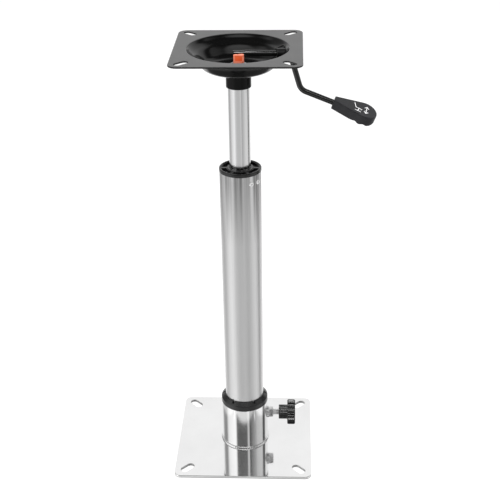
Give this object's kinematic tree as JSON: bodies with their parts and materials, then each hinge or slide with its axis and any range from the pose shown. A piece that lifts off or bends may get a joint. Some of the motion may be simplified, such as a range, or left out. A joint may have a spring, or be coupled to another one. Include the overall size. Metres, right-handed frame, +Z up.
{
  "type": "boat seat pedestal",
  "caption": "Gas-lift pedestal for a boat seat: a column plugs into a square floor base, and a lever under the square dished seat plate releases its height.",
  "frame": {"origin": "middle of the floor plate's underside, on the column's axis", "axes": "+Z up along the column, +X towards the release lever and the clamp knob"},
  "size_m": [0.2994, 0.213, 0.6534],
  "materials": {
    "floor_aluminium": "polished",
    "socket_aluminium": "polished",
    "weld_bead": "satin",
    "column_aluminium": "satin anodised, drawn along its length",
    "post_aluminium": "bright drawn",
    "bushing_plastic": "moulded, fine texture",
    "zinc_steel": "bright zinc plated",
    "rivet_metal": "bright",
    "pad_brass": "satin",
    "knob_plastic": "moulded, lightly textured",
    "seat_paint": "satin black powder coat, glossy in the dish",
    "hub_paint": "gloss black",
    "lever_paint": "gloss black",
    "paddle_plastic": "moulded, spark textured",
    "clip_plastic": "satin",
    "grommet_rubber": "satin",
    "rod_chrome": "polished",
    "cylinder_paint": "satin black",
    "bearing_steel": "polished"
  },
  "bodies": {
    "base": {"base_plate": "floor_aluminium", "base_socket": "socket_aluminium", "foot_ring": "weld_bead", "socket_bushing": "bushing_plastic", "clamp_boss": "zinc_steel", "clamp_nut": "zinc_steel"},
    "pressure_pad": {"pressure_pad": "pad_brass"},
    "clamp_knob": {"clamp_screw": "zinc_steel", "clamp_knob": "knob_plastic"},
    "column": {"column_tube": "column_aluminium", "top_bushing": "bushing_plastic", "bushing_rivets": "rivet_metal", "lower_guide": "bushing_plastic", "bottom_plug": "bushing_plastic", "spacer_tube": "column_aluminium", "anchor_disc": "zinc_steel", "bearing_washer": "bearing_steel", "bearing_balls": "bearing_steel", "bearing_cage": "pad_brass"},
    "gas_rod": {"piston_rod": "rod_chrome", "rod_washer": "bearing_steel", "rod_clip": "zinc_steel", "gas_piston": "zinc_steel", "rubber_bumper": "grommet_rubber"},
    "seat_mount": {"inner_post": "post_aluminium", "gas_cylinder": "cylinder_paint", "rod_guide": "zinc_steel", "rod_seal": "grommet_rubber", "valve_body": "zinc_steel", "seat_plate": "seat_paint", "hub_collar": "hub_paint", "neck_ring": "hub_paint", "release_clip": "clip_plastic", "lever_grommet": "grommet_rubber", "lever_pivot": "rod_chrome"},
    "valve_pin": {"valve_pin": "rod_chrome"},
    "lever": {"lever_rod": "lever_paint", "lever_paddle": "paddle_plastic"}
  },
  "joints": [
    {"name": "column_lift", "type": "slide", "parent": "base", "child": "column", "axis": [0, 0, 1], "range_m": [0, 0.07]},
    {"name": "seat_swivel", "type": "hinge", "parent": "column", "child": "gas_rod", "pos_m": [0, 0, 0.16], "axis": [0, 0, 1], "continuous": true},
    {"name": "seat_height", "type": "slide", "parent": "gas_rod", "child": "seat_mount", "axis": [0, 0, 1], "range_m": [-0.114, 0]},
    {"name": "release_lever", "type": "hinge", "parent": "seat_mount", "child": "lever", "pos_m": [0.0585, 0.011, 0.642], "axis": [0.1848, -0.9828, 0], "range_deg": [0, 4], "stiffness_Nm_per_rad": 8, "springref_deg": -6.88},
    {"name": "valve_press", "type": "slide", "parent": "seat_mount", "child": "valve_pin", "axis": [0, 0, 1], "range_m": [-0.0043, 0]},
    {"name": "clamp_turn", "type": "hinge", "parent": "pressure_pad", "child": "clamp_knob", "pos_m": [0.06, 0, 0.051], "axis": [1, 0, 0], "range_deg": [0, 1440]},
    {"name": "clamp_advance", "type": "slide", "parent": "base", "child": "pressure_pad", "axis": [1, 0, 0], "range_m": [0, 0.0064]}
  ],
  "couplings": [
    {"joint": "valve_press", "follows": "release_lever", "m_per_rad": -0.059525},
    {"joint": "clamp_advance", "follows": "clamp_turn", "m_per_rad": 0.00025266}
  ]
}
